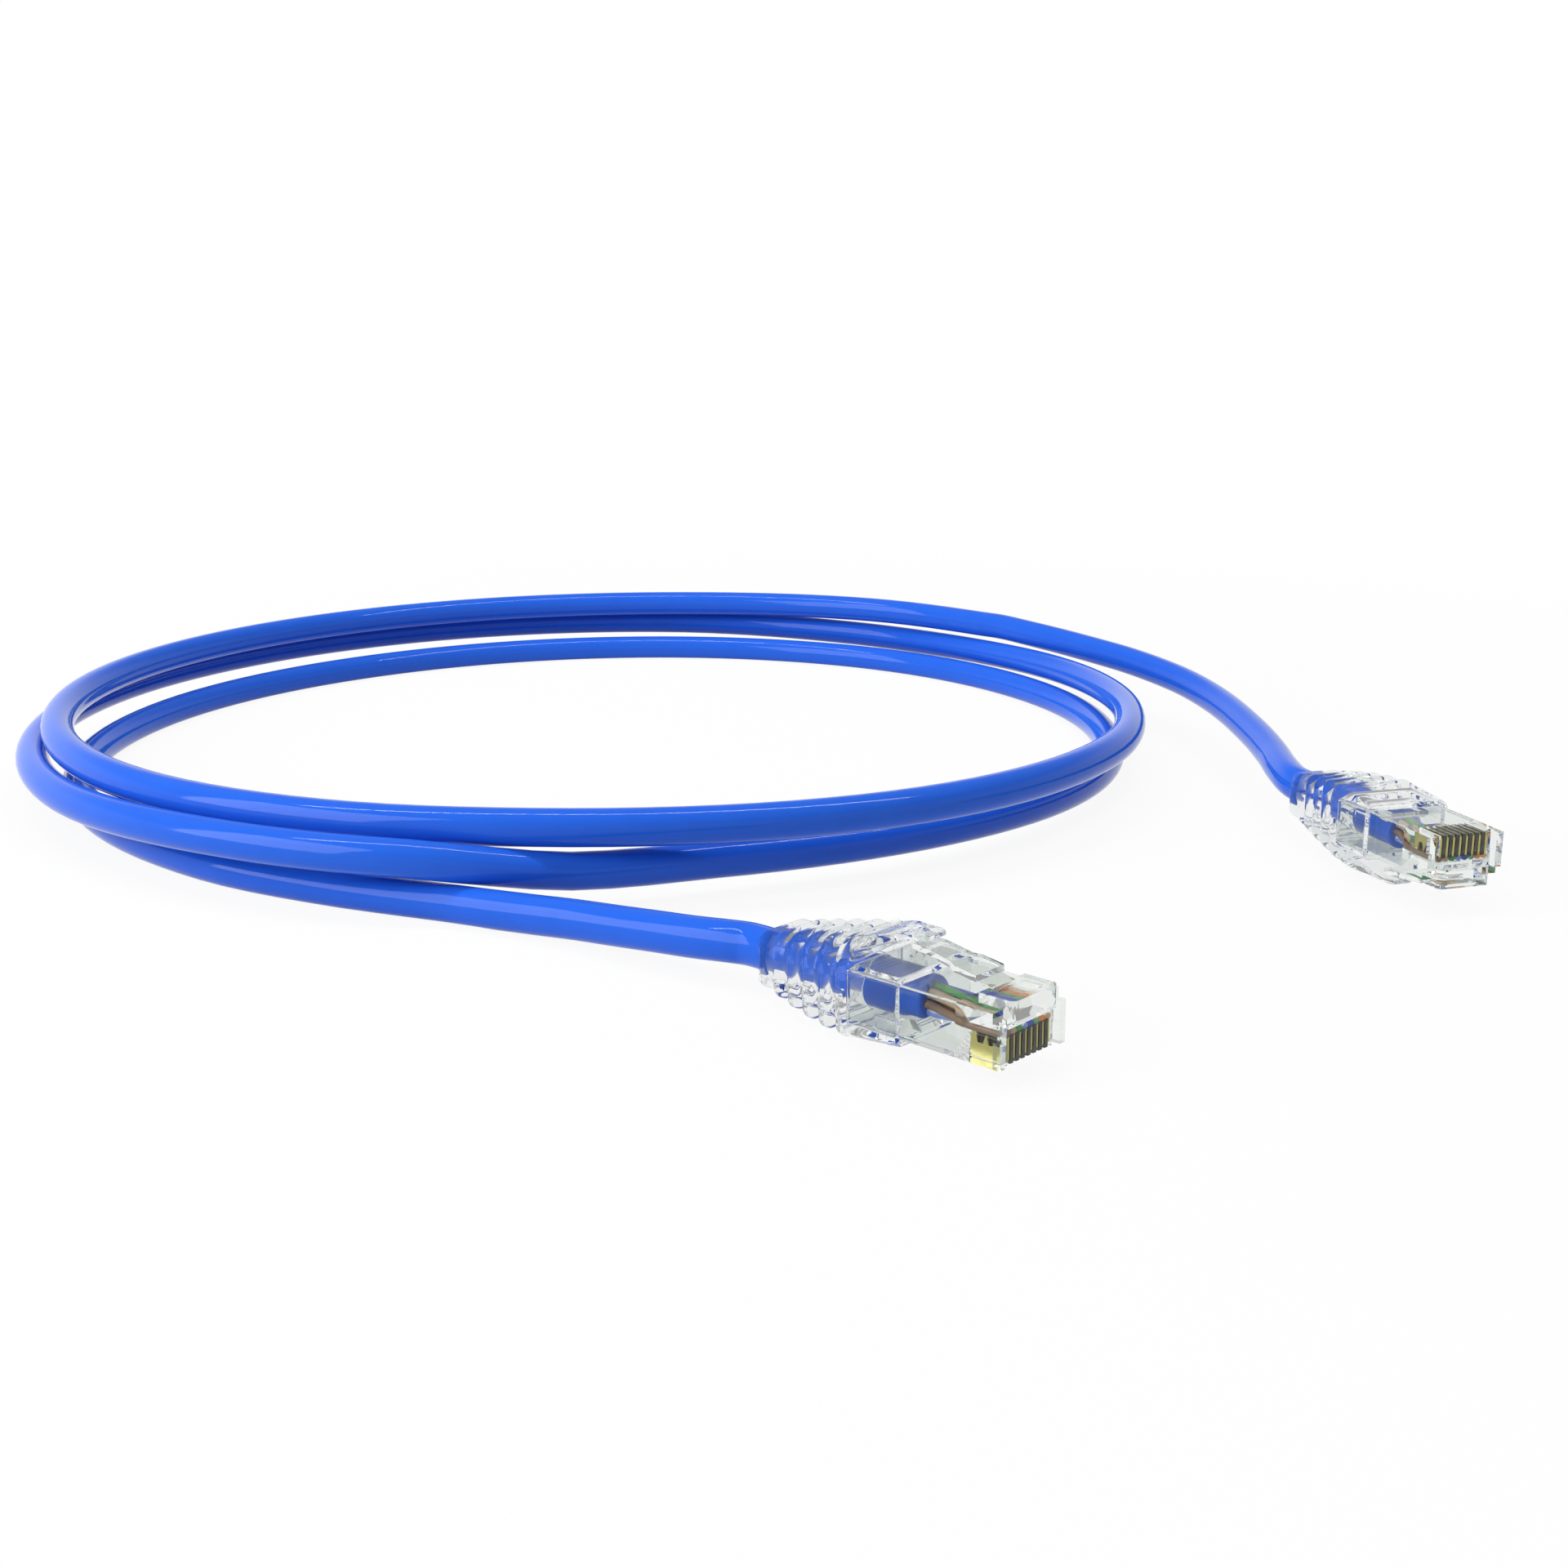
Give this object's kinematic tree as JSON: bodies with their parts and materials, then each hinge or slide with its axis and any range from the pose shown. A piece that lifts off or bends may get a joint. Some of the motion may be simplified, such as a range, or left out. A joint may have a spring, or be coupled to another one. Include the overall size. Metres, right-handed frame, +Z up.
{
  "type": "ethernet patch cable",
  "caption": "Coiled round network cable with a clear modular plug in a ribbed snagless boot at each end; latch and boot hood hinge on both plugs.",
  "frame": {"origin": "bottom centre of the whole cable's box, on the surface it lies on", "axes": "+Z up from that surface; +Y away from the two plugs, along the longer side; +X from the first plug towards the second"},
  "size_m": [0.235, 0.267, 0.015],
  "materials": {
    "jacket": "glossy extruded jacket",
    "clear_plug": "clear moulded, polished",
    "clear_boot": "clear flexible, glossy",
    "contact_gold": "gold plated",
    "wire_brown": "satin insulation",
    "wire_white_brown": "satin insulation",
    "wire_green": "satin insulation",
    "wire_white_blue": "satin insulation",
    "wire_blue": "satin insulation",
    "wire_white_green": "satin insulation",
    "wire_orange": "satin insulation",
    "wire_white_orange": "satin insulation"
  },
  "bodies": {
    "cable": {"cable_coil": "jacket", "cable_lead_a": "jacket", "cable_lead_b": "jacket", "housing_a": "clear_plug", "clamp_bar_a": "clear_plug", "jacket_end_a": "jacket", "boot_a": "clear_boot", "housing_b": "clear_plug", "clamp_bar_b": "clear_plug", "jacket_end_b": "jacket", "boot_b": "clear_boot", "contact_a_1": "contact_gold", "contact_a_2": "contact_gold", "contact_a_3": "contact_gold", "contact_a_4": "contact_gold", "contact_a_5": "contact_gold", "contact_a_6": "contact_gold", "contact_a_7": "contact_gold", "contact_a_8": "contact_gold", "contact_b_1": "contact_gold", "contact_b_2": "contact_gold", "contact_b_3": "contact_gold", "contact_b_4": "contact_gold", "contact_b_5": "contact_gold", "contact_b_6": "contact_gold", "contact_b_7": "contact_gold", "contact_b_8": "contact_gold", "wire_a_1": "wire_brown", "wire_a_2": "wire_white_brown", "wire_a_3": "wire_green", "wire_a_4": "wire_white_blue", "wire_a_5": "wire_blue", "wire_a_6": "wire_white_green", "wire_a_7": "wire_orange", "wire_a_8": "wire_white_orange", "wire_b_1": "wire_white_orange", "wire_b_2": "wire_orange", "wire_b_3": "wire_white_green", "wire_b_4": "wire_blue", "wire_b_5": "wire_white_blue", "wire_b_6": "wire_green", "wire_b_7": "wire_white_brown", "wire_b_8": "wire_brown"},
    "latch_a": {"latch_a": "clear_plug"},
    "hood_a": {"boot_hood_a": "clear_boot"},
    "latch_b": {"latch_b": "clear_plug"},
    "hood_b": {"boot_hood_b": "clear_boot"}
  },
  "joints": [
    {"name": "latch_press_a", "type": "hinge", "parent": "cable", "child": "latch_a", "pos_m": [0.04273, -0.12621, 0.00937], "axis": [-0.6947, -0.7193, 0], "range_deg": [0, 9.5], "stiffness_Nm_per_rad": 0.005},
    {"name": "hood_press_a", "type": "hinge", "parent": "cable", "child": "hood_a", "pos_m": [0.0302, -0.1141, 0.01092], "axis": [0.6947, 0.7193, 0], "range_deg": [0, 12.6], "stiffness_Nm_per_rad": 0.005},
    {"name": "latch_press_b", "type": "hinge", "parent": "cable", "child": "latch_b", "pos_m": [0.11065, -0.06879, 0.00405], "axis": [0.9583, 0.2857, 0], "range_deg": [0, 9.5], "stiffness_Nm_per_rad": 0.005},
    {"name": "hood_press_b", "type": "hinge", "parent": "cable", "child": "hood_b", "pos_m": [0.10568, -0.05211, 0.0022], "axis": [-0.9583, -0.2857, 0], "range_deg": [0, 12.6], "stiffness_Nm_per_rad": 0.005}
  ],
  "couplings": [
    {"joint": "latch_press_a", "follows": "hood_press_a", "ratio": 0.71429},
    {"joint": "latch_press_b", "follows": "hood_press_b", "ratio": 0.71429}
  ]
}
